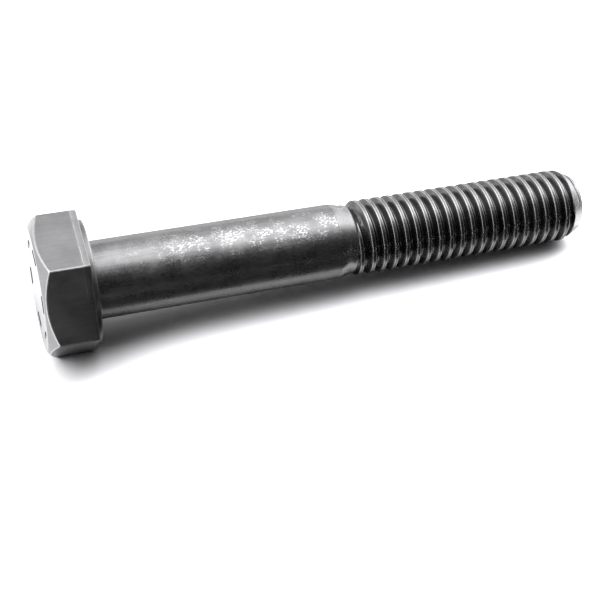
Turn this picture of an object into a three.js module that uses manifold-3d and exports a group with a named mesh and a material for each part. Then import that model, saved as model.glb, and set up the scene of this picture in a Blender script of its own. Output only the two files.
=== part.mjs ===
// An M8 hexagon head bolt, partly threaded.
//
// Frame: millimetres. The bolt's axis is the X axis, from the centre of the head's end face at the
// origin to the point at +X. Two of the hexagon's flats face +Z and -Z, and two of its corners
// point at +Y and -Y.
//
// A hex bolt is one piece of steel. Each region of it that has a name of its own is a mesh here:
// the crown, hexagon and washer face of the head, the fillet under it, the shank, the run-out,
// the thread and the point. Neighbours meet on planes square to the axis, and the washer face is
// a ring round the foot of the fillet.

import * as THREE from "three";
import { mergeVertices } from "three/addons/utils/BufferGeometryUtils.js";
import Module from "manifold-3d";

// ---- Head ----
const WIDTH_ACROSS_FLATS = 13;
const HEAD_HEIGHT = 5.3; // from the bearing face to the end face
const HEAD_CHAMFER_ANGLE = 36; // degrees between the chamfer and the end face
const END_FACE_MARGIN = 0.32; // from the flats in to the rim of the end face
const CROWN_BELOW_CHAMFER = 0.3; // flat of the hexagon that belongs to the crown, at a corner
const WASHER_FACE_THICKNESS = 0.5;
const WASHER_FACE_MARGIN = 0.32; // from the flats in to the rim of the washer face

// ---- Shank ----
const LENGTH = 53.5; // from the bearing face to the end face of the point
const SHANK_DIAMETER = 7.88;
const FILLET_RADIUS = 0.5; // between the shank and the bearing face

// ---- Thread ----
const THREAD_DIAMETER = 7.9; // over the crests
const PITCH = 1.25;
const DEPTH_IN_PITCHES = 0.6134; // ISO 68-1 profile: 17/24 of the height of its triangle
const CREST_IN_PITCHES = 0.125; // width of the flat on top of the ridge
const RIDGE_FOOT_IN_PITCHES = 0.06; // how far the ridge runs on into the core
const FLANK_ANGLE = 30; // degrees between a flank and the radius
const THREAD_LENGTH = 28.15; // from the end of the plain shank to the end face of the point
const NECK_LENGTH = 1.55; // the shank tapers over this to the blank that the thread is rolled on
const NECK_DEPTH = 0.3; // how far the rolling blank lies under the crests
const RUNOUT_LENGTH = 2.65; // from the end of the plain shank to the first full thread
const HELIX_LEAD_IN = 1.79; // from the end of the plain shank to the start of the ridge
const HELIX_START_ANGLE = 42; // degrees from +Y towards +Z
const FADE_TURNS = 0.5; // the ridge rises to its full height over this
const POINT_STEP = 0.09; // from the thread's root in to the rim of the point's end face
const POINT_ANGLE = 27; // degrees between the point's chamfer and the axis

// ---- Fineness ----
const ROUND_STEPS = 56; // sides of a plain round
const TURN_STEPS = 28; // sections in a turn of the thread
const FILLET_STEPS = 6;

// ---- Worked out ----
const FLAT_RADIUS = WIDTH_ACROSS_FLATS / 2;
const CORNER_RADIUS = FLAT_RADIUS / Math.cos(Math.PI / 6);
const END_FACE_RADIUS = FLAT_RADIUS - END_FACE_MARGIN;
const WASHER_FACE_RADIUS = FLAT_RADIUS - WASHER_FACE_MARGIN;
const CHAMFER_SLOPE = Math.tan(THREE.MathUtils.degToRad(HEAD_CHAMFER_ANGLE));
const CROWN_BASE_X = (CORNER_RADIUS - END_FACE_RADIUS) * CHAMFER_SLOPE + CROWN_BELOW_CHAMFER;
const HEXAGON_BASE_X = HEAD_HEIGHT - WASHER_FACE_THICKNESS;
const SHANK_RADIUS = SHANK_DIAMETER / 2;
const FILLET_FOOT_RADIUS = SHANK_RADIUS + FILLET_RADIUS;
const BOLT_END_X = HEAD_HEIGHT + LENGTH;
const SHANK_END_X = BOLT_END_X - THREAD_LENGTH;
const CREST_RADIUS = THREAD_DIAMETER / 2;
const THREAD_DEPTH = DEPTH_IN_PITCHES * PITCH;
const ROOT_RADIUS = CREST_RADIUS - THREAD_DEPTH;
const FULL_THREAD_X = SHANK_END_X + RUNOUT_LENGTH;
const POINT_RADIUS = ROOT_RADIUS - POINT_STEP;
const POINT_SLOPE = Math.tan(THREE.MathUtils.degToRad(POINT_ANGLE));
const POINT_X = BOLT_END_X - (CREST_RADIUS - POINT_RADIUS) / POINT_SLOPE;

const { Manifold, Mesh: SolidMesh } = await loadManifold();

async function loadManifold() {
  const library = await Module();
  library.setup();
  return library;
}

// ---- From geometry to solid and back ----

function solidOf(geometry) {
  const bare = new THREE.BufferGeometry();
  bare.setAttribute("position", geometry.getAttribute("position"));
  bare.setIndex(geometry.getIndex());
  const merged = mergeVertices(bare, 1e-4);
  const corners = merged.getIndex().array;
  const kept = [];
  for (let i = 0; i < corners.length; i += 3) {
    const [a, b, c] = corners.slice(i, i + 3);
    if (a !== b && b !== c && c !== a) kept.push(a, b, c);
  }
  return new Manifold(
    new SolidMesh({
      numProp: 3,
      vertProperties: merged.getAttribute("position").array,
      triVerts: new Uint32Array(kept),
    }),
  );
}

function geometryOf(solid) {
  const { vertProperties, triVerts } = solid.getMesh();
  const geometry = new THREE.BufferGeometry();
  geometry.setAttribute("position", new THREE.BufferAttribute(vertProperties, 3));
  geometry.setIndex(new THREE.BufferAttribute(triVerts, 1));
  const faceted = geometry.toNonIndexed();
  faceted.computeVertexNormals();
  return faceted;
}

// The part of a solid that lies between two planes square to the axis.
function between(solid, fromX, toX) {
  return solid.trimByPlane([1, 0, 0], fromX).trimByPlane([-1, 0, 0], -toX);
}

// ---- Shapes ----

// A solid turned about the X axis. The outline's points are [x, radius], from -X to +X.
function turned(outline, steps = ROUND_STEPS) {
  const closed = [[outline[0][0], 0], ...outline, [outline.at(-1)[0], 0]];
  const profile = closed.map(([x, radius]) => new THREE.Vector2(radius, x));
  return new THREE.LatheGeometry(profile, steps).rotateZ(-Math.PI / 2);
}

// A solid turned about the X axis, its sides lined up with the sections of the thread's helix.
function turnedForThread(outline) {
  return turned(outline, TURN_STEPS).rotateX(THREE.MathUtils.degToRad(HELIX_START_ANGLE));
}

// A hexagonal prism along the X axis, with corners at +Y and -Y.
function hexagonPrism(fromX, toX) {
  const corners = [];
  for (let corner = 0; corner < 6; corner++) {
    const angle = (corner * Math.PI) / 3;
    corners.push(new THREE.Vector2(Math.sin(angle), Math.cos(angle)).multiplyScalar(CORNER_RADIUS));
  }
  const outline = new THREE.Shape(corners);
  const geometry = new THREE.ExtrudeGeometry(outline, { depth: toX - fromX, bevelEnabled: false });
  return geometry.rotateY(Math.PI / 2).translate(fromX, 0, 0);
}

// The right-hand helix of the thread's crest. Its frames keep the ridge's section upright: normals
// point out from the axis, and binormals back along it.
class CrestHelix extends THREE.Curve {
  constructor(startX, turns) {
    super();
    this.startX = startX;
    this.turns = turns;
  }

  angleAt(t) {
    return THREE.MathUtils.degToRad(HELIX_START_ANGLE) + 2 * Math.PI * this.turns * t;
  }

  getPoint(t, target = new THREE.Vector3()) {
    const angle = this.angleAt(t);
    const turn = this.turns * t;
    const sunk = THREAD_DEPTH * (1 - THREE.MathUtils.smoothstep(turn, 0, FADE_TURNS));
    const radius = CREST_RADIUS - sunk;
    return target.set(this.startX + PITCH * turn, radius * Math.cos(angle), radius * Math.sin(angle));
  }

  // Sections stand at equal steps of angle, so that they line up with the sides of the core.
  getPointAt(t, target) {
    return this.getPoint(t, target);
  }

  computeFrenetFrames(steps) {
    const frames = { tangents: [], normals: [], binormals: [] };
    for (let step = 0; step <= steps; step++) {
      const angle = this.angleAt(step / steps);
      frames.tangents.push(new THREE.Vector3(0, -Math.sin(angle), Math.cos(angle)));
      frames.normals.push(new THREE.Vector3(0, Math.cos(angle), Math.sin(angle)));
      frames.binormals.push(new THREE.Vector3(-1, 0, 0));
    }
    return frames;
  }
}

// The ridge of the thread: the ISO profile swept along the helix, with its foot inside the core.
function threadRidge() {
  const depth = THREAD_DEPTH + RIDGE_FOOT_IN_PITCHES * PITCH;
  const halfCrest = (CREST_IN_PITCHES * PITCH) / 2;
  const halfFoot = halfCrest + depth * Math.tan(THREE.MathUtils.degToRad(FLANK_ANGLE));
  const section = new THREE.Shape([
    new THREE.Vector2(0, -halfCrest),
    new THREE.Vector2(0, halfCrest),
    new THREE.Vector2(-depth, halfFoot),
    new THREE.Vector2(-depth, -halfFoot),
  ]);
  const startX = SHANK_END_X + HELIX_LEAD_IN;
  const turns = Math.ceil((BOLT_END_X - startX) / PITCH) + 1;
  const extrudePath = new CrestHelix(startX, turns);
  return new THREE.ExtrudeGeometry(section, { steps: turns * TURN_STEPS, extrudePath });
}

// What the ridge stands on: the neck, the blank under the first thread, and the thread's core.
function threadCore() {
  const neckX = SHANK_END_X + NECK_LENGTH;
  return turnedForThread([
    [SHANK_END_X, SHANK_RADIUS],
    [neckX, CREST_RADIUS - NECK_DEPTH],
    [FULL_THREAD_X, ROOT_RADIUS],
    [BOLT_END_X + PITCH, ROOT_RADIUS],
  ]);
}

// Everything from the plain shank to the end of the bolt, with the point's chamfer cut.
function threadedEnd() {
  const clear = CREST_RADIUS + SHANK_RADIUS;
  const limits = turnedForThread([
    [SHANK_END_X, clear],
    [BOLT_END_X - (clear - POINT_RADIUS) / POINT_SLOPE, clear],
    [BOLT_END_X, POINT_RADIUS],
  ]);
  return solidOf(threadCore()).add(solidOf(threadRidge())).intersect(solidOf(limits));
}

function headCrown() {
  const clear = 2 * CORNER_RADIUS;
  const cone = turned([
    [0, END_FACE_RADIUS],
    [(clear - END_FACE_RADIUS) * CHAMFER_SLOPE, clear],
  ]);
  return solidOf(hexagonPrism(0, CROWN_BASE_X)).intersect(solidOf(cone));
}

// The raised ring under the hexagon, open in the middle for the foot of the fillet.
function washerFace() {
  const hole = straightRound(HEXAGON_BASE_X, HEAD_HEIGHT, FILLET_FOOT_RADIUS);
  return solidOf(straightRound(HEXAGON_BASE_X, HEAD_HEIGHT, WASHER_FACE_RADIUS)).subtract(solidOf(hole));
}

// The fillet's foot fills the washer face's ring, and its concave flank runs out to the shank.
function underheadFillet() {
  const outline = [[HEXAGON_BASE_X, FILLET_FOOT_RADIUS]];
  for (let step = 0; step <= FILLET_STEPS; step++) {
    const angle = (step / FILLET_STEPS) * (Math.PI / 2);
    const x = HEAD_HEIGHT + FILLET_RADIUS * (1 - Math.cos(angle));
    outline.push([x, SHANK_RADIUS + FILLET_RADIUS * (1 - Math.sin(angle))]);
  }
  return turned(outline);
}

function straightRound(fromX, toX, radius) {
  return turned([
    [fromX, radius],
    [toX, radius],
  ]);
}

// ---- Assembly ----

const threaded = threadedEnd();

const headSteel = { color: 0x4a4b4d, roughness: 0.42, metalness: 0.85 };
const shankSteel = { color: 0x3c3c3d, roughness: 0.48, metalness: 0.85 };
const threadSteel = { color: 0x2b2b2c, roughness: 0.36, metalness: 0.85 };

const pieces = [
  ["head_crown", geometryOf(headCrown()), headSteel],
  ["head_hexagon", hexagonPrism(CROWN_BASE_X, HEXAGON_BASE_X), headSteel],
  ["washer_face", geometryOf(washerFace()), headSteel],
  ["underhead_fillet", underheadFillet(), shankSteel],
  ["shank", straightRound(HEAD_HEIGHT + FILLET_RADIUS, SHANK_END_X, SHANK_RADIUS), shankSteel],
  ["thread_runout", geometryOf(between(threaded, SHANK_END_X, FULL_THREAD_X)), threadSteel],
  ["thread", geometryOf(between(threaded, FULL_THREAD_X, POINT_X)), threadSteel],
  ["point", geometryOf(between(threaded, POINT_X, BOLT_END_X)), threadSteel],
];

const bolt = new THREE.Group();
for (const [name, geometry, look] of pieces) {
  const mesh = new THREE.Mesh(geometry, new THREE.MeshStandardMaterial(look));
  mesh.name = name;
  bolt.add(mesh);
}

export default bolt;
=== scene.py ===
"""The looks of a partly threaded M8 hex bolt, built round its CAD frame.

Lengths are in metres. The bolt's axis is X, from the head's end face at the origin to the point.
Angles round the axis go from +Y towards +Z, as the thread's helix does.
"""

import math

import bmesh
import bpy
from mathutils import Matrix, Vector, noise


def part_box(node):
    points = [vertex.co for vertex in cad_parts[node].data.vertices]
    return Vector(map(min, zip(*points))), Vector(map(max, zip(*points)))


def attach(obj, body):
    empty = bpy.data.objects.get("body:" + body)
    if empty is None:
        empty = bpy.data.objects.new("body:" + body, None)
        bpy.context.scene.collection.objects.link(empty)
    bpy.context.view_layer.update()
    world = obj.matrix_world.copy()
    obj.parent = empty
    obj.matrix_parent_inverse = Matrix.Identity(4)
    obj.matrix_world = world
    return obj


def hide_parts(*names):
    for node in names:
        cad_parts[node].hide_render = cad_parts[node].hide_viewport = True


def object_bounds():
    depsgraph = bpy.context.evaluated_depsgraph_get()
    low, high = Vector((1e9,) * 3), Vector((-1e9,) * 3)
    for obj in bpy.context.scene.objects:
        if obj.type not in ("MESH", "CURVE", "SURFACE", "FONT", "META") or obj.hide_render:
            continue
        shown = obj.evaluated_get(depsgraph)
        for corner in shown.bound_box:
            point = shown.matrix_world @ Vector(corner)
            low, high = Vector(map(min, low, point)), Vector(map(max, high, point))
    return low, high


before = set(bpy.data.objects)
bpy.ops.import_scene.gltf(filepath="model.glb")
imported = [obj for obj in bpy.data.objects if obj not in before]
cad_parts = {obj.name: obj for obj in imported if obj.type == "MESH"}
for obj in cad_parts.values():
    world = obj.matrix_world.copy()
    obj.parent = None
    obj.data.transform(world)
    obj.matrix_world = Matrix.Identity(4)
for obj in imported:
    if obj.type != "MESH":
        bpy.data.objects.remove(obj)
cad_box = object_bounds()

MM = 0.001


# ---- Sizes taken from the frame ----


def ends(node):
    """Where a CAD node starts and stops along the axis."""
    low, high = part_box(node)
    return low.x, high.x


def radius(node):
    """Half of a CAD node's height, which is its radius where it is round."""
    low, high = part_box(node)
    return (high.z - low.z) / 2


CROWN_BASE_X = ends("head_crown")[1]
HEXAGON_BASE_X = ends("head_hexagon")[1]
BEARING_X = ends("washer_face")[1]
SHANK_X, SHANK_END_X = ends("shank")
FULL_THREAD_X, POINT_X = ends("thread")
BOLT_END_X = ends("point")[1]
FLAT_RADIUS = radius("head_hexagon")
WASHER_RADIUS = radius("washer_face")
SHANK_RADIUS = radius("shank")
CREST_RADIUS = radius("thread")

# ---- Head ----
HEAD_CHAMFER_SLOPE = math.tan(math.radians(36))
END_FACE_MARGIN = 0.32 * MM
END_FACE_RADIUS = FLAT_RADIUS - END_FACE_MARGIN
END_FACE_DISH = 0.1 * MM
END_FACE_WEAR = 0.4
MARK_TOP_X = 0.01 * MM
MARK_RADIUS = 4.6 * MM
MARK_LENGTH = 1.7 * MM
MARK_WIDTH = 0.42 * MM
MARK_FOOT_DEPTH = 0.05 * MM
MARK_EDGE_HEIGHT = 0.03 * MM
MARK_EDGE_ROUND = 0.04 * MM
# Wear below zero darkens the colour towards near black: the bars' walls most, their tops less.
MARK_WALL_WEAR = -0.9
MARK_TOP_WEAR = -0.5
RIM_ROUND = 0.07 * MM
RIDGE_ROUND = 0.3 * MM
ARC_WIDTH = 0.07 * MM
TRIM_HEIGHT = 0.62 * MM
TRIM_X = HEXAGON_BASE_X - TRIM_HEIGHT
TRIM_WAVER = 0.05 * MM
TRIM_WAVES = 9
TRIM_SPECKS = 11
TRIM_MARGIN = 0.08 * MM
TRIM_EDGE = 0.04 * MM
TRIM_FALL = 0.05 * MM
TRIM_TAPER = 0.05 * MM
BEARING_EDGE_ROUND = 0.12 * MM
WASHER_EDGE_ROUND = 0.09 * MM
RIDGE_STEPS = 6
FLAT_STEPS = 14

# ---- Shank ----
FILLET_FOOT_RADIUS = SHANK_RADIUS + SHANK_X - BEARING_X
FILLET_STEPS = 12
ROUND_STEPS = 144
SHANK_STATIONS = 90
SHANK_INSET = 0.002 * MM
SHANK_WAVER = 0.004 * MM
SHANK_WAVES_PER_MM = 0.35
SHANK_WAVES_ROUND = 2.2

# ---- Thread ----
PITCH = 1.25 * MM
THREAD_DEPTH = 0.6134 * PITCH
ROOT_RADIUS = CREST_RADIUS - THREAD_DEPTH
NECK_LENGTH = 1.55 * MM
NECK_DEPTH = 0.3 * MM
NECK_RADIUS = CREST_RADIUS - NECK_DEPTH
NECK_WEAR = 0.45
HELIX_LEAD_IN = 1.79 * MM
HELIX_START_X = SHANK_END_X + HELIX_LEAD_IN
HELIX_START_ANGLE = math.radians(42)
FADE_TURNS = 0.5
CREST_WAVER = 0.008 * MM
CREST_WAVES_PER_TURN = 3.1
CREST_WAVES_ROUND = 4
POINT_STEP = 0.09 * MM
POINT_RADIUS = ROOT_RADIUS - POINT_STEP
POINT_SLOPE = math.tan(math.radians(27))
POINT_DISH = 0.1 * MM
POINT_WEAR = 0.7
# The flat ends of the threaded pieces: rings of points, as shares of the rim's radius.
END_RINGS = (0.94, 0.8, 0.4)
END_WEAR = 0.3
TURN_STEPS = 112
# Half of the ridge's section: (distance from the crest in pitches, share of the depth, wear).
HALF_RIDGE = (
    (0.0, 0.985, 0.15),
    (0.05, 0.985, 0.15),
    (0.085, 0.992, 0.35),
    (0.11, 1.0, 1.0),
    (0.13, 0.995, 1.0),
    (0.15, 0.965, 0.5),
    (0.17, 0.915, 0.05),
    (0.2, 0.835, 0.0),
    (0.25, 0.69, 0.0),
    (0.32, 0.49, 0.0),
    (0.39, 0.3, 0.0),
    (0.44, 0.2, 0.0),
    (0.5, 0.165, 0.0),
)

# ---- View ----
LENS = 71.17
CAMERA_AZIMUTH = math.radians(24.95)
CAMERA_DOWN = math.radians(49.27)
CAMERA_ROLL = math.radians(9.445)
CAMERA_DISTANCE = 118.83 * MM
AIM_FROM_CENTRE = Vector((-4.37, -6.95, 0)) * MM


# ---- Mesh ----
MERGE_DISTANCE = 0.0002 * MM
SHARP_ANGLE = math.radians(38)


def smoothstep(value, low, high):
    t = min(1.0, max(0.0, (value - low) / (high - low)))
    return t * t * (3 - 2 * t)


def blend_of(a, b, t):
    return a + (b - a) * t


def piece(name, points, wear, faces, node, material):
    """The mesh that stands for a CAD node, worn and darkened where its points say so."""
    mesh = bpy.data.meshes.new(name)
    mesh.from_pydata(points, [], faces)
    worn = mesh.attributes.new("wear", "FLOAT", "POINT")
    worn.data.foreach_set("value", wear)
    body = bmesh.new()
    body.from_mesh(mesh)
    bmesh.ops.remove_doubles(body, verts=body.verts, dist=MERGE_DISTANCE)
    bmesh.ops.recalc_face_normals(body, faces=body.faces)
    body.to_mesh(mesh)
    body.free()
    mesh.polygons.foreach_set("use_smooth", [True] * len(mesh.polygons))
    mesh.set_sharp_from_angle(angle=SHARP_ANGLE)
    mesh.materials.append(material)
    made = bpy.data.objects.new(name, mesh)
    bpy.context.scene.collection.objects.link(made)
    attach(made, "root")
    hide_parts(node)
    return made


def strip_faces(columns, rows, closed_rows=False):
    """Quads between neighbouring columns of points, all the way round."""
    faces = []
    for column in range(columns):
        here = column * rows
        there = (column + 1) % columns * rows
        for row in range(rows if closed_rows else rows - 1):
            after = (row + 1) % rows
            faces.append((here + row, there + row, there + after, here + after))
    return faces


def round_piece(name, directions, rows_of, node, material, closed_rows=False, extra=None):
    """A piece whose columns are lines of (x, radius, wear) from end to end; extra adds more to it."""
    points = []
    wear = []
    for column, (y, z) in enumerate(directions):
        for x, r, worn in rows_of(column):
            points.append((x, r * y, r * z))
            wear.append(worn)
    rows = len(points) // len(directions)
    faces = strip_faces(len(directions), rows, closed_rows)
    if extra:
        extra(points, wear, faces)
    return piece(name, points, wear, faces, node, material)


def round_directions(steps):
    turns = [2 * math.pi * step / steps for step in range(steps)]
    return [(math.cos(turn), math.sin(turn)) for turn in turns]


# ---- Head ----


def hexagon_columns():
    """Points round the hexagon with rounded ridges: unit direction, distance and wear of each."""
    columns = []
    centre = (FLAT_RADIUS - RIDGE_ROUND) / math.cos(math.pi / 6)
    for corner in range(6):
        middle = corner * math.pi / 3
        arc = []
        for step in range(RIDGE_STEPS + 1):
            share = step / RIDGE_STEPS
            turn = middle + (share - 0.5) * math.pi / 3
            y = centre * math.cos(middle) + RIDGE_ROUND * math.cos(turn)
            z = centre * math.sin(middle) + RIDGE_ROUND * math.sin(turn)
            arc.append((y, z, 1 - abs(2 * share - 1)))
        columns += arc
        following = middle + math.pi / 3
        end_turn = following - math.pi / 6
        y_end = centre * math.cos(following) + RIDGE_ROUND * math.cos(end_turn)
        z_end = centre * math.sin(following) + RIDGE_ROUND * math.sin(end_turn)
        y_start, z_start, _ = arc[-1]
        for step in range(1, FLAT_STEPS):
            share = 0.5 - 0.5 * math.cos(math.pi * step / FLAT_STEPS)
            columns.append((blend_of(y_start, y_end, share), blend_of(z_start, z_end, share), 0.0))
    directions = []
    distances = []
    wear = []
    for y, z, worn in columns:
        distance = math.hypot(y, z)
        directions.append((y / distance, z / distance))
        distances.append(distance)
        wear.append(worn)
    return directions, distances, wear


def crown_rows(distance, ridge_wear):
    """End face, its rim, the chamfer, the worn arc and the top of the flat."""
    rows = [(END_FACE_DISH, 0.0, END_FACE_WEAR)]
    inner = END_FACE_RADIUS - RIM_ROUND
    for share in (0.3, 0.6, 0.8, 0.88, 0.94, 0.98):
        rows.append((END_FACE_DISH * (1 - share**8), inner * share, END_FACE_WEAR))
    rows.append((0.0, inner, 0.6))
    slope_x = RIM_ROUND * HEAD_CHAMFER_SLOPE
    rows.append((slope_x * 0.3, END_FACE_RADIUS, 0.8))
    arc_x = (distance - END_FACE_RADIUS) * HEAD_CHAMFER_SLOPE
    worn_in = min(ARC_WIDTH, (distance - END_FACE_RADIUS) * 0.4)
    first = END_FACE_RADIUS + RIM_ROUND
    last = distance - worn_in
    for share in (0.0, 0.1, 0.5, 0.9, 1.0):
        r = blend_of(first, last, share)
        rows.append(((r - END_FACE_RADIUS) * HEAD_CHAMFER_SLOPE, r, 0.5 if share > 0.95 else 0.15))
    start_x = (last - END_FACE_RADIUS) * HEAD_CHAMFER_SLOPE
    stop_x = arc_x + ARC_WIDTH
    for share in (0.25, 0.5, 0.75, 1.0):
        x = blend_of(blend_of(start_x, arc_x, share), blend_of(arc_x, stop_x, share), share)
        r = blend_of(blend_of(last, distance, share), distance, share)
        rows.append((x, r, 1.0 if share < 0.9 else 0.6))
    rows.append((blend_of(stop_x, CROWN_BASE_X, 0.15), distance, 0.8 * ridge_wear))
    rows.append((CROWN_BASE_X, distance, 0.6 * ridge_wear))
    rows.append((CROWN_BASE_X, 0.0, 0.0))
    return rows


def hexagon_rows(distance, ridge_wear, direction):
    """The flats, the line where the head was trimmed, and the edge over the bearing face."""
    place = Vector((0.0, *direction)) * TRIM_WAVES
    trim_x = TRIM_X + TRIM_WAVER * noise.noise(place)
    trim = 0.01 + 0.99 * smoothstep(direction[1], 0.3, 0.75)
    rows = [(CROWN_BASE_X, 0.0, 0.0)]
    for share in (0.0, 0.33, 0.66, 0.95):
        x = blend_of(CROWN_BASE_X, trim_x - TRIM_MARGIN, share)
        rows.append((x, distance, 0.6 * ridge_wear))
    speck = 0.55 + 1.1 * noise.noise(place * TRIM_SPECKS)
    rows.append((trim_x - TRIM_EDGE, distance, 0.1 * trim))
    rows.append((trim_x, distance, min(1.0, max(0.0, speck)) * trim))
    rows.append((trim_x + TRIM_FALL, distance - 0.3 * TRIM_TAPER * trim, 0.15 * trim))
    edge = distance - TRIM_TAPER * trim
    middle = distance - 0.7 * TRIM_TAPER * trim
    rows.append((blend_of(trim_x, HEXAGON_BASE_X, 0.5), middle, 0.08 * trim))
    rows.append((HEXAGON_BASE_X - BEARING_EDGE_ROUND, edge, 0.0))
    rows.append((HEXAGON_BASE_X - 0.3 * BEARING_EDGE_ROUND, edge - 0.3 * BEARING_EDGE_ROUND, 0.6))
    rows.append((HEXAGON_BASE_X, edge - BEARING_EDGE_ROUND, 0.3))
    rows.append((HEXAGON_BASE_X, 0.9 * edge, 0.0))
    rows.append((HEXAGON_BASE_X, 0.0, 0.0))
    return rows


def make_head(material):
    directions, distances, wear = hexagon_columns()
    round_piece(
        "crown",
        directions,
        lambda column: crown_rows(distances[column], wear[column]),
        "head_crown",
        material,
        extra=add_marks,
    )
    round_piece(
        "hexagon",
        directions,
        lambda column: hexagon_rows(distances[column], wear[column], directions[column]),
        "head_hexagon",
        material,
    )


def add_marks(points, wear, faces):
    """Six plain raised bars on the end face, one towards each flat."""
    for side in range(6):
        turn = math.pi / 6 + side * math.pi / 3
        outward = Vector((0.0, math.cos(turn), math.sin(turn)))
        across = Vector((0.0, -outward.z, outward.y))
        centre = outward * MARK_RADIUS
        start = len(points)
        levels = (
            (END_FACE_DISH + MARK_FOOT_DEPTH, 0.0, MARK_WALL_WEAR),
            (MARK_TOP_X + MARK_EDGE_HEIGHT, 0.0, MARK_WALL_WEAR),
            (MARK_TOP_X, MARK_EDGE_ROUND, MARK_TOP_WEAR),
        )
        for x, shrink, worn in levels:
            for u, v in ((-1, -1), (1, -1), (1, 1), (-1, 1)):
                place = centre + across * u * (MARK_LENGTH / 2 - shrink)
                place = place + outward * v * (MARK_WIDTH / 2 - shrink)
                points.append((x, place.y, place.z))
                wear.append(worn)
        for level in (start, start + 4):
            for corner in range(4):
                after = (corner + 1) % 4
                faces.append((level + corner, level + after, level + 4 + after, level + 4 + corner))
        faces.append(tuple(start + corner for corner in range(4)))
        faces.append(tuple(start + 8 + corner for corner in range(4)))


def make_washer_face(material):
    edge = WASHER_EDGE_ROUND
    section = (
        (HEXAGON_BASE_X, FILLET_FOOT_RADIUS, 0.0),
        (BEARING_X, FILLET_FOOT_RADIUS, 0.0),
        (BEARING_X, WASHER_RADIUS - 2 * edge, 0.0),
        (BEARING_X, WASHER_RADIUS - edge, 0.4),
        (BEARING_X - 0.3 * edge, WASHER_RADIUS - 0.3 * edge, 0.7),
        (BEARING_X - edge, WASHER_RADIUS, 0.4),
        (BEARING_X - 2 * edge, WASHER_RADIUS, 0.0),
        (HEXAGON_BASE_X, WASHER_RADIUS, 0.0),
    )
    round_piece(
        "washer_ring",
        round_directions(ROUND_STEPS),
        lambda column: section,
        "washer_face",
        material,
        closed_rows=True,
    )


# ---- Shank ----


def make_fillet(material):
    fillet = SHANK_X - BEARING_X
    rows = [(HEXAGON_BASE_X, 0.0, 0.0), (HEXAGON_BASE_X, FILLET_FOOT_RADIUS, 0.0)]
    for step in range(FILLET_STEPS + 1):
        turn = math.pi / 2 * step / FILLET_STEPS
        x = BEARING_X + fillet * (1 - math.cos(turn))
        rows.append((x, SHANK_RADIUS + fillet * (1 - math.sin(turn)), 0.0))
    rows.append((SHANK_X, 0.0, 0.0))
    directions = round_directions(ROUND_STEPS)
    round_piece(
        "fillet", directions, lambda column: rows, "underhead_fillet", material
    )


def make_shank(material):
    directions = round_directions(ROUND_STEPS)

    def rows_of(column):
        y, z = directions[column]
        rows = [(SHANK_X, 0.0, 0.0)]
        for station in range(SHANK_STATIONS + 1):
            x = blend_of(SHANK_X, SHANK_END_X, station / SHANK_STATIONS)
            place = Vector((x / MM * SHANK_WAVES_PER_MM, y * SHANK_WAVES_ROUND, z * SHANK_WAVES_ROUND))
            inside = min(1, station, SHANK_STATIONS - station)
            waver = SHANK_WAVER * noise.noise(place) * inside
            rows.append((x, SHANK_RADIUS + waver - SHANK_INSET, 0.0))
        rows.append((SHANK_END_X, 0.0, 0.0))
        return rows

    round_piece("plain_shank", directions, rows_of, "shank", material)


# ---- Threaded end ----


def ridge_at(offset):
    """Share of the thread's depth and wear at an offset from the crest, in pitches."""
    offset = abs(offset)
    for (near, upper, near_wear), (far, lower, far_wear) in zip(HALF_RIDGE, HALF_RIDGE[1:]):
        if offset <= far:
            share = (offset - near) / (far - near)
            return blend_of(upper, lower, share), blend_of(near_wear, far_wear, share)
    return 0.0, 0.0


def core_radius(x):
    """The neck, the blank under the first thread, and the thread's core."""
    if x < SHANK_END_X + NECK_LENGTH:
        return blend_of(
            SHANK_RADIUS, NECK_RADIUS, smoothstep(x, SHANK_END_X, SHANK_END_X + NECK_LENGTH)
        )
    return blend_of(
        NECK_RADIUS, ROOT_RADIUS, smoothstep(x, SHANK_END_X + NECK_LENGTH, FULL_THREAD_X)
    )


def thread_surface(x, share_of_turn):
    """Radius and wear of the threaded end at a place along the axis and round it."""
    along = (x - HELIX_START_X) / PITCH - share_of_turn
    crest = math.floor(along + 0.5)
    turn = crest + share_of_turn
    height, ridge_wear = ridge_at(along - crest)
    r = core_radius(x)
    wear = 0.0
    if turn > 0:
        angle = 2 * math.pi * share_of_turn
        round_it = Vector((0.0, math.cos(angle), math.sin(angle))) * CREST_WAVES_ROUND
        place = Vector((turn * CREST_WAVES_PER_TURN, round_it.y, round_it.z))
        top = CREST_RADIUS - THREAD_DEPTH * (1 - smoothstep(turn, 0, FADE_TURNS))
        top -= CREST_WAVER * (1 + noise.noise(place))
        ridge = top - THREAD_DEPTH * (1 - height)
        if ridge > r:
            r = ridge
            wear = ridge_wear
    if x < HELIX_START_X:
        wear = NECK_WEAR
    cone = POINT_RADIUS + (BOLT_END_X - x) * POINT_SLOPE
    if cone < r:
        r = cone
        wear = POINT_WEAR
    return r, wear


def thread_offsets():
    """Where the lines of points lie across one pitch, in pitches from the crest."""
    right = [offset for offset, _, _ in HALF_RIDGE]
    left = [-offset for offset in right[1:-1]]
    return sorted(left + right[:-1] + [-0.5])


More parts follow.
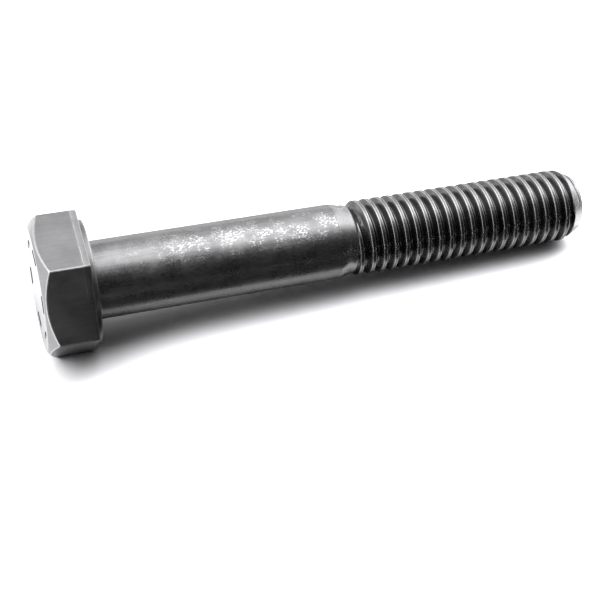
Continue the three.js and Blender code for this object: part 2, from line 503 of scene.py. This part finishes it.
def make_threaded(name, start_x, stop_x, node, material, dished=False):
    """A stretch of the threaded end: its lines of points follow the helix, and flat ends close it."""
    offsets = thread_offsets()
    per_turn = len(offsets)
    first_turn = math.floor((start_x - HELIX_START_X) / PITCH) - 2
    last_turn = math.ceil((stop_x - HELIX_START_X) / PITCH) + 2
    lines = [turn + offset for turn in range(first_turn, last_turn + 1) for offset in offsets]
    points = []
    wear = []
    for column in range(TURN_STEPS):
        share = column / TURN_STEPS
        angle = HELIX_START_ANGLE + 2 * math.pi * share
        for line in lines:
            x = HELIX_START_X + PITCH * (line + share)
            x = min(stop_x, max(start_x, x))
            r, worn = thread_surface(x, share)
            points.append((x, r * math.cos(angle), r * math.sin(angle)))
            wear.append(worn)
    rows = len(lines)
    faces = []
    for column in range(TURN_STEPS):
        here = column * rows
        there = (column + 1) % TURN_STEPS * rows
        shift = per_turn if column + 1 == TURN_STEPS else 0
        for row in range(rows - 1 - shift):
            ahead = there + row + shift
            faces.append((here + row, ahead, ahead + 1, here + row + 1))
    close_end(points, wear, faces, [column * rows for column in range(TURN_STEPS)], 0.0)
    last = [(column + 1) * rows - 1 for column in range(TURN_STEPS)]
    close_end(points, wear, faces, last, POINT_DISH if dished else 0.0)
    return piece(name, points, wear, faces, node, material)


def close_end(points, wear, faces, rim, dish):
    """Closes a rim of points with rings of faces that go in to the axis, dished by that depth."""
    for share in END_RINGS:
        ring = []
        for index in rim:
            x, y, z = points[index]
            points.append((x - dish * (1 - share), y * share, z * share))
            wear.append(END_WEAR)
            ring.append(len(points) - 1)
        for step, index in enumerate(rim):
            after = (step + 1) % len(rim)
            faces.append((index, rim[after], ring[after], ring[step]))
        rim = ring
    faces.append(tuple(rim))


def make_thread(material):
    make_threaded("runout", SHANK_END_X, FULL_THREAD_X, "thread_runout", material)
    make_threaded("screw_thread", FULL_THREAD_X, POINT_X, "thread", material)
    make_threaded("screw_point", POINT_X, BOLT_END_X, "point", material, dished=True)


# ---- Materials ----
# Noise scales, in turns per metre.
MOTTLE_SCALE = 420.0
SPECKLE_SCALE = 5200.0
FINE_SCALE = 11000.0
STREAK_SCALE = (260.0, 4200.0, 4200.0)
PATCH_SCALE = 700.0
FLECK_HIGHLIGHT_SCALE = (3800.0, 6400.0, 6400.0)
NOISE_SPAN = (0.3, 0.7)
# Pale flecks on the shank, partly a painted highlight: painted only on its upper, lit side and growing
# in towards the thread, where the highlight is. Where along the axis they grow in, their side, and how
# far round they reach.
FLECK_HIGHLIGHT_X = (SHANK_X + 1.5 * MM, SHANK_X + 11 * MM)
FLECK_HIGHLIGHT_SIDE = Vector((0.0, -0.2, 0.98))
FLECK_HIGHLIGHT_REACH = (0.83 * SHANK_RADIUS, 0.96 * SHANK_RADIUS)
FLECK_HIGHLIGHT_SHADE = 0.85
DARKENED_SHADE = 0.01


class Nodes:
    """Adds nodes to a tree and joins them."""

    def __init__(self, tree):
        self.tree = tree
        tree.nodes.clear()

    def add(self, kind, inputs=None, **settings):
        node = self.tree.nodes.new(kind)
        for key, value in settings.items():
            setattr(node, key, value)
        for key, value in (inputs or {}).items():
            if isinstance(value, bpy.types.NodeSocket):
                self.tree.links.new(value, node.inputs[key])
            else:
                node.inputs[key].default_value = value
        return node

    def noise(self, vector, scale, detail=3.0, roughness=0.55):
        sockets = {"Vector": vector, "Scale": scale, "Detail": detail, "Roughness": roughness}
        return self.add("ShaderNodeTexNoise", sockets).outputs["Fac"]

    def stretched(self, vector, scale):
        sockets = {"Vector": vector, "Scale": scale}
        return self.add("ShaderNodeMapping", sockets).outputs["Vector"]

    def ranged(self, value, low, high, to_low, to_high):
        sockets = {0: value, 1: low, 2: high, 3: to_low, 4: to_high}
        return self.add("ShaderNodeMapRange", sockets, clamp=True).outputs[0]

    def maths(self, operation, first, second):
        return self.add("ShaderNodeMath", {0: first, 1: second}, operation=operation).outputs[0]

    def mixed(self, factor, first, second):
        sockets = {"Factor": factor, "A": first, "B": second}
        node = self.add("ShaderNodeMix", data_type="RGBA")
        for key, value in sockets.items():
            socket = [s for s in node.inputs if s.name == key and s.enabled][0]
            if isinstance(value, bpy.types.NodeSocket):
                self.tree.links.new(value, socket)
            else:
                socket.default_value = value
        return [s for s in node.outputs if s.enabled][0]

    def ramp(self, value, stops):
        """Near-neutral greys at the stops: (position, brightness)."""
        node = self.add("ShaderNodeValToRGB", {0: value})
        elements = node.color_ramp.elements
        while len(elements) < len(stops):
            elements.new(0.5)
        for element, (position, shade) in zip(elements, stops):
            element.position = position
            element.color = (shade, shade * 0.985, shade * (1.0 + 0.02 * shade), 1.0)
        return node.outputs[0]


def fleck_highlight_share(nodes, place, strength):
    """Where the shank's pale flecks lie, partly a painted highlight on the upper, lit side, from 0 to
    strength.
    """
    share = nodes.ranged(nodes.noise(place, PATCH_SCALE, 2.0), 0.42, 0.6, 0.0, 1.0)
    along = nodes.add("ShaderNodeSeparateXYZ", {0: place}).outputs[0]
    share = nodes.maths("MULTIPLY", share, nodes.ranged(along, *FLECK_HIGHLIGHT_X, 0.0, 1.0))
    sockets = {0: place, 1: FLECK_HIGHLIGHT_SIDE}
    outward = nodes.add("ShaderNodeVectorMath", sockets, operation="DOT_PRODUCT")
    # Painted highlight: the flecks are kept to the upper, lit side of the shank.
    lit_side = nodes.ranged(outward.outputs["Value"], *FLECK_HIGHLIGHT_REACH, 0.0, 1.0)
    share = nodes.maths("MULTIPLY", share, lit_side)
    bright = nodes.noise(nodes.stretched(place, FLECK_HIGHLIGHT_SCALE), 1.0, 4.0, 0.7)
    return nodes.maths("MULTIPLY", share, nodes.ranged(bright, 0.5, 0.66, 0.0, strength))


def steel(name, dark, light, worn, rough, streaks, grain, patchy_wear, highlight_flecks=0.0):
    """Dark finished steel: mottled, brushed along the axis, grainy, and bright where it is worn."""
    material = bpy.data.materials.new(name)
    material.use_nodes = True
    nodes = Nodes(material.node_tree)
    place = nodes.add("ShaderNodeTexCoord").outputs["Object"]
    mottle = nodes.noise(place, MOTTLE_SCALE, 5.0, 0.62)
    speckle = nodes.noise(place, SPECKLE_SCALE, 2.0)
    fine = nodes.noise(place, FINE_SCALE, 2.0)
    streak = nodes.noise(nodes.stretched(place, STREAK_SCALE), 1.0, 3.0)
    mottled = nodes.ranged(mottle, *NOISE_SPAN, 0.0, 0.6)
    streaked = nodes.ranged(streak, *NOISE_SPAN, 0.0, 0.4)
    colour = nodes.mixed(nodes.maths("ADD", mottled, streaked), dark, light)
    if highlight_flecks:
        # Pale flecks, partly a painted highlight on the lit upper side of the shank.
        colour = nodes.mixed(fleck_highlight_share(nodes, place, highlight_flecks), colour, grey(FLECK_HIGHLIGHT_SHADE))
    wear = nodes.add("ShaderNodeAttribute", attribute_name="wear").outputs["Fac"]
    patchy = nodes.maths("MULTIPLY", wear, nodes.ranged(speckle, 0.36, 0.6, patchy_wear, 1.0))
    colour = nodes.mixed(patchy, colour, worn)
    # Wear below zero makes the colour darker, towards near black.
    darkening = nodes.ranged(wear, -1.0, 0.0, 1.0, 0.0)
    colour = nodes.mixed(darkening, colour, grey(DARKENED_SHADE))
    satin = nodes.ranged(mottle, *NOISE_SPAN, *rough)
    gloss = nodes.maths("ADD", satin, nodes.ranged(speckle, *NOISE_SPAN, -0.05, 0.05))
    brushed = nodes.maths("MULTIPLY", streak, streaks)
    relief = nodes.maths("ADD", brushed, nodes.maths("MULTIPLY", speckle, grain))
    relief = nodes.maths("ADD", relief, nodes.maths("MULTIPLY", fine, grain * 0.4))
    bump = nodes.add("ShaderNodeBump", {"Height": relief, "Distance": MM, "Strength": 1.0})
    shader = nodes.add(
        "ShaderNodeBsdfPrincipled",
        {"Base Color": colour, "Metallic": 1.0, "Roughness": gloss, "Normal": bump.outputs[0]},
    )
    nodes.add("ShaderNodeOutputMaterial", {"Surface": shader.outputs[0]})
    return material


def grey(value):
    return (value, value, value * 0.99, 1.0)


# ---- Stage ----


MIRROR_LIGHT = 2.4
SOFT_LIGHT = 9.5
# How far up a direction has to point before soft light comes from it, and where it is full.
SOFT_LIGHT_RISE = (0.25, 0.75)
# The way in which both gradients grow dark.
DARK_SIDE = Vector((0.25, -0.96, -0.05)).normalized()
# Gradients from behind the bolt towards the dark side: (position, brightness).
MIRROR_STOPS = (
    (0.0, 0.35),
    (0.05, 0.42),
    (0.13, 0.62),
    (0.24, 0.95),
    (0.46, 1.0),
    (0.55, 0.55),
    (0.63, 0.19),
    (0.73, 0.065),
    (0.85, 0.02),
    (1.0, 0.009),
)
SOFT_STOPS = (
    (0.0, 0.08),
    (0.2, 0.2),
    (0.31, 0.7),
    (0.37, 1.0),
    (0.45, 1.0),
    (0.51, 0.5),
    (0.57, 0.06),
    (0.64, 0.004),
)


def make_world():
    """A white background, a gradient that reflections show, and soft light from above."""
    world = bpy.data.worlds.new("studio")
    bpy.context.scene.world = world
    world.use_nodes = True
    nodes = Nodes(world.node_tree)
    direction = nodes.add("ShaderNodeTexCoord").outputs["Generated"]
    toward = nodes.add("ShaderNodeVectorMath", {0: direction, 1: DARK_SIDE}, operation="DOT_PRODUCT")
    share = nodes.ranged(toward.outputs["Value"], -1.0, 1.0, 0.0, 1.0)
    upward = nodes.add("ShaderNodeSeparateXYZ", {0: direction}).outputs[2]
    soft_strength = nodes.ranged(upward, *SOFT_LIGHT_RISE, 0.0, SOFT_LIGHT)
    mirrored = background(nodes, nodes.ramp(share, MIRROR_STOPS), MIRROR_LIGHT)
    soft = background(nodes, nodes.ramp(share, SOFT_STOPS), soft_strength)
    seen = background(nodes, (1.0, 1.0, 1.0, 1.0), 1.0)
    path = nodes.add("ShaderNodeLightPath").outputs
    lit = nodes.add("ShaderNodeMixShader", {0: path["Is Glossy Ray"], 1: soft, 2: mirrored})
    shown = nodes.add("ShaderNodeMixShader", {0: path["Is Camera Ray"], 1: lit.outputs[0], 2: seen})
    nodes.add("ShaderNodeOutputWorld", {"Surface": shown.outputs[0]})


def background(nodes, colour, strength):
    sockets = {"Color": colour, "Strength": strength}
    return nodes.add("ShaderNodeBackground", sockets).outputs[0]


def plane(name, corners, material):
    mesh = bpy.data.meshes.new(name)
    mesh.from_pydata(corners, [], [(0, 1, 2, 3)])
    mesh.materials.append(material)
    made = bpy.data.objects.new(name, mesh)
    bpy.context.scene.collection.objects.link(made)
    return made


def matt(name, value):
    material = bpy.data.materials.new(name)
    material.use_nodes = True
    nodes = Nodes(material.node_tree)
    place = nodes.add("ShaderNodeTexCoord").outputs["Object"]
    tone = nodes.ranged(nodes.noise(place, 30.0), 0.0, 1.0, value * 0.99, value)
    shader = nodes.add("ShaderNodeBsdfDiffuse", {"Color": tone})
    nodes.add("ShaderNodeOutputMaterial", {"Surface": shader.outputs[0]})
    return material


FLOOR_REACH = 1.5
FLOOR_SHADE = 0.92
CARD_LIFT = 0.1 * MM
# Cards that lie on the floor and are seen only in reflections, as painted dark reflections that stand
# in for shade round the bolt: name, shade and two corners.
CARDS = (
    ("black_reflection_card", 0.02, (-0.004, -0.6), (0.6, -0.0085)),
    ("grey_reflection_card", 0.5, (0.001, -0.0085), (0.062, 0.006)),
    ("back_reflection_card", 0.4, (0.007, 0.006), (0.12, 0.08)),
)


def make_floor():
    """The bolt rests on the bearing edge of a flat and on the thread's crests by the point."""
    low = (HEXAGON_BASE_X, -FLAT_RADIUS)
    high = (POINT_X, -CREST_RADIUS)
    rise = (high[1] - low[1]) / (high[0] - low[0])

    def height(x, lift=0.0):
        return low[1] + rise * (x - low[0]) + lift

    outline = [(x * FLOOR_REACH, y * FLOOR_REACH) for x, y in ((-1, -1), (1, -1), (1, 1), (-1, 1))]
    plane("floor", [(x, y, height(x)) for x, y in outline], matt("white_paper", FLOOR_SHADE))
    for name, value, low_corner, high_corner in CARDS:
        (x0, y0), (x1, y1) = low_corner, high_corner
        box = ((x0, y0), (x1, y0), (x1, y1), (x0, y1))
        card = plane(name, [(x, y, height(x, CARD_LIFT)) for x, y in box], matt(name, value))
        # Painted reflection: the card shows only in reflections, darkening them where shade would be.
        card.visible_camera = False
        card.visible_diffuse = False
        card.visible_shadow = False


def make_camera():
    low, high = cad_box
    aim = (low + high) / 2 + AIM_FROM_CENTRE
    level = Vector((math.sin(CAMERA_AZIMUTH), math.cos(CAMERA_AZIMUTH), 0.0))
    ahead = level * math.cos(CAMERA_DOWN) - Vector((0, 0, math.sin(CAMERA_DOWN)))
    right = ahead.cross(Vector((0, 0, 1))).normalized()
    above = right.cross(ahead)
    turned_right = right * math.cos(CAMERA_ROLL) + above * math.sin(CAMERA_ROLL)
    turned_above = above * math.cos(CAMERA_ROLL) - right * math.sin(CAMERA_ROLL)
    data = bpy.data.cameras.new("camera")
    data.lens = LENS
    data.clip_start = 0.005
    data.clip_end = 20.0
    camera = bpy.data.objects.new("camera", data)
    bpy.context.scene.collection.objects.link(camera)
    basis = Matrix((turned_right, turned_above, -ahead)).transposed()
    camera.matrix_world = Matrix.Translation(aim - ahead * CAMERA_DISTANCE) @ basis.to_4x4()
    bpy.context.scene.camera = camera


# ---- The scene ----

head_steel = steel(
    "head_steel",
    dark=grey(0.14),
    light=grey(0.195),
    worn=grey(0.5),
    rough=(0.31, 0.38),
    streaks=0.004,
    grain=0.003,
    patchy_wear=0.6,
)
shank_steel = steel(
    "shank_steel",
    dark=grey(0.15),
    light=grey(0.25),
    worn=grey(0.34),
    rough=(0.26, 0.36),
    streaks=0.003,
    grain=0.0015,
    patchy_wear=0.5,
    # The shank's pale flecks are partly a painted highlight.
    highlight_flecks=1.0,
)
thread_steel = steel(
    "thread_steel",
    dark=grey(0.1),
    light=grey(0.14),
    worn=grey(0.5),
    rough=(0.2, 0.28),
    streaks=0.0,
    grain=0.0,
    patchy_wear=0.8,
)

make_camera()
make_world()
make_floor()
make_head(head_steel)
make_washer_face(head_steel)
make_fillet(shank_steel)
make_shank(shank_steel)
make_thread(thread_steel)

scene = bpy.context.scene
scene.view_settings.view_transform = "Standard"
